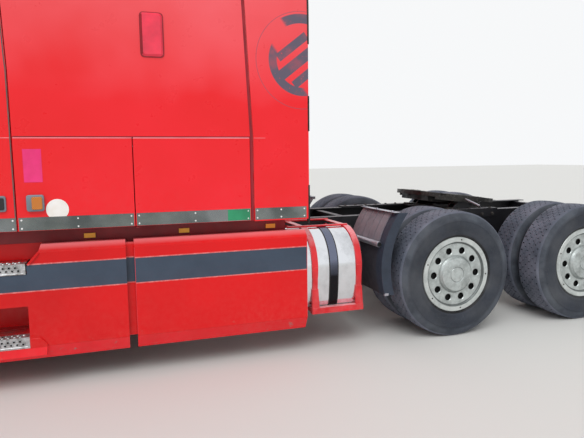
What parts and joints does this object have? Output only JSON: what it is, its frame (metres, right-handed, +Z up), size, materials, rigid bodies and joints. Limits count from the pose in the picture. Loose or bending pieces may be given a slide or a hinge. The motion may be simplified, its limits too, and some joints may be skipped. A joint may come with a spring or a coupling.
{
  "type": "sleeper cab semi truck tractor unit",
  "caption": "Long-nosed road tractor with a high-roof sleeper cab, side fairings, twin-tyred tandem drive axles and a tilting fifth wheel for coupling a semi-trailer.",
  "frame": {"origin": "on the ground under the middle of the truck's length and width", "axes": "+X forward, +Y to the driver's left, +Z up"},
  "size_m": [8.1, 2.9692, 3.9187],
  "materials": {
    "red_paint": "gloss",
    "fairing_paint": "satin",
    "frame_black": "satin",
    "frame_red": "satin",
    "axle_iron": "rough",
    "plate_iron": "greasy",
    "engine_iron": "rough",
    "polished_tank": "polished",
    "tread_metal": "ribbed",
    "wheel_silver": "satin",
    "exhaust_chrome": "polished",
    "tyre_rubber": "worn",
    "flap_rubber": "matte",
    "black_plastic": "matte",
    "grey_plastic": "matte",
    "glass": "clear",
    "clear_lens": "clear",
    "amber_lens": "gloss",
    "red_lens": "gloss",
    "seat_cloth": "woven",
    "mattress_cloth": "quilted",
    "floor_metal": "satin",
    "cooler": "dull"
  },
  "bodies": {
    "chassis": {"body_sills": "frame_red", "bunk": "grey_plastic", "bunk_mattress": "mattress_cloth", "cab_cowl": "red_paint", "cab_floor": "floor_metal", "cab_frame": "red_paint", "dashboard": "grey_plastic", "drive_axles": "axle_iron", "exhaust": "exhaust_chrome", "fifth_wheel_base": "frame_black", "frame_rails": "frame_black", "front_axle": "axle_iron", "front_bumper": "fairing_paint", "fuel_tanks": "polished_tank", "marker_lamps": "amber_lens", "mudflaps": "flap_rubber", "powertrain": "engine_iron", "quarter_fenders": "black_plastic", "radiator": "cooler", "rear_fairings": "fairing_paint", "roof_cap": "red_paint", "seat_bases": "black_plastic", "seat_cushions": "seat_cloth", "side_extenders": "red_paint", "sleeper_back": "red_paint", "sleeper_sides": "red_paint", "steering_wheel": "black_plastic", "step_fairings": "fairing_paint", "step_treads": "tread_metal", "tail_lamps": "red_lens", "tank_frames": "frame_red", "vent_flaps": "red_paint", "windshield": "glass"},
    "hood": {"hood": "red_paint", "grille": "black_plastic", "headlamps": "clear_lens"},
    "tie_rod": {"tie_rod": "axle_iron"},
    "fifth_wheel_plate": {"fifth_wheel": "plate_iron"},
    "cab_door_left": {"door_left": "red_paint", "door_glass_left": "glass", "mirror_left": "black_plastic"},
    "luggage_lid_left": {"luggage_door_left": "red_paint"},
    "steer_knuckle_left": {"knuckle_left": "axle_iron"},
    "front_wheel_left": {"tyre_front_left": "tyre_rubber", "wheel_front_left": "wheel_silver"},
    "drive_wheel_1_left": {"tyres_drive_1_left": "tyre_rubber", "wheel_drive_1_left": "wheel_silver"},
    "drive_wheel_2_left": {"tyres_drive_2_left": "tyre_rubber", "wheel_drive_2_left": "wheel_silver"},
    "cab_door_right": {"door_right": "red_paint", "door_glass_right": "glass", "mirror_right": "black_plastic"},
    "luggage_lid_right": {"luggage_door_right": "red_paint"},
    "steer_knuckle_right": {"knuckle_right": "axle_iron"},
    "front_wheel_right": {"tyre_front_right": "tyre_rubber", "wheel_front_right": "wheel_silver"},
    "drive_wheel_1_right": {"tyres_drive_1_right": "tyre_rubber", "wheel_drive_1_right": "wheel_silver"},
    "drive_wheel_2_right": {"tyres_drive_2_right": "tyre_rubber", "wheel_drive_2_right": "wheel_silver"}
  },
  "joints": [
    {"name": "hood_tilt", "type": "hinge", "parent": "chassis", "child": "hood", "pos_m": [3.955, 0, 0.7], "axis": [0, 1, 0], "range_deg": [0, 70]},
    {"name": "cab_door_left_swing", "type": "hinge", "parent": "chassis", "child": "cab_door_left", "pos_m": [2.092, 1.1112, 1.5], "axis": [0, 0, -1], "range_deg": [0, 70]},
    {"name": "luggage_lid_left_swing", "type": "hinge", "parent": "chassis", "child": "luggage_lid_left", "pos_m": [0.409, 1.192, 1.3], "axis": [0, 0, -1], "range_deg": [0, 95]},
    {"name": "steer_left", "type": "hinge", "parent": "chassis", "child": "steer_knuckle_left", "pos_m": [2.77, 0.87, 0.51], "axis": [0, 0, 1], "range_deg": [-40, 40]},
    {"name": "front_wheel_left_spin", "type": "hinge", "parent": "steer_knuckle_left", "child": "front_wheel_left", "pos_m": [2.77, 1.03, 0.51], "axis": [0, 1, 0], "continuous": true},
    {"name": "drive_wheel_1_left_spin", "type": "hinge", "parent": "chassis", "child": "drive_wheel_1_left", "pos_m": [-2.03, 0.905, 0.51], "axis": [0, 1, 0], "continuous": true},
    {"name": "drive_wheel_2_left_spin", "type": "hinge", "parent": "chassis", "child": "drive_wheel_2_left", "pos_m": [-3.35, 0.905, 0.51], "axis": [0, 1, 0], "continuous": true},
    {"name": "cab_door_right_swing", "type": "hinge", "parent": "chassis", "child": "cab_door_right", "pos_m": [2.092, -1.1112, 1.5], "axis": [0, 0, 1], "range_deg": [0, 70]},
    {"name": "luggage_lid_right_swing", "type": "hinge", "parent": "chassis", "child": "luggage_lid_right", "pos_m": [0.409, -1.192, 1.3], "axis": [0, 0, 1], "range_deg": [0, 95]},
    {"name": "steer_right", "type": "hinge", "parent": "chassis", "child": "steer_knuckle_right", "pos_m": [2.77, -0.87, 0.51], "axis": [0, 0, 1], "range_deg": [-40, 40]},
    {"name": "front_wheel_right_spin", "type": "hinge", "parent": "steer_knuckle_right", "child": "front_wheel_right", "pos_m": [2.77, -1.03, 0.51], "axis": [0, 1, 0], "continuous": true},
    {"name": "drive_wheel_1_right_spin", "type": "hinge", "parent": "chassis", "child": "drive_wheel_1_right", "pos_m": [-2.03, -0.905, 0.51], "axis": [0, 1, 0], "continuous": true},
    {"name": "drive_wheel_2_right_spin", "type": "hinge", "parent": "chassis", "child": "drive_wheel_2_right", "pos_m": [-3.35, -0.905, 0.51], "axis": [0, 1, 0], "continuous": true},
    {"name": "tie_rod_swing", "type": "hinge", "parent": "steer_knuckle_left", "child": "tie_rod", "pos_m": [2.59, 0.87, 0.405], "axis": [0, 0, 1], "range_deg": [-40, 40]},
    {"name": "fifth_wheel_tilt", "type": "hinge", "parent": "chassis", "child": "fifth_wheel_plate", "pos_m": [-2.665, 0, 1.012], "axis": [0, 1, 0], "range_deg": [0, 14]}
  ],
  "couplings": [
    {"joint": "steer_right", "follows": "steer_left", "ratio": 1},
    {"joint": "tie_rod_swing", "follows": "steer_left", "ratio": -1}
  ]
}
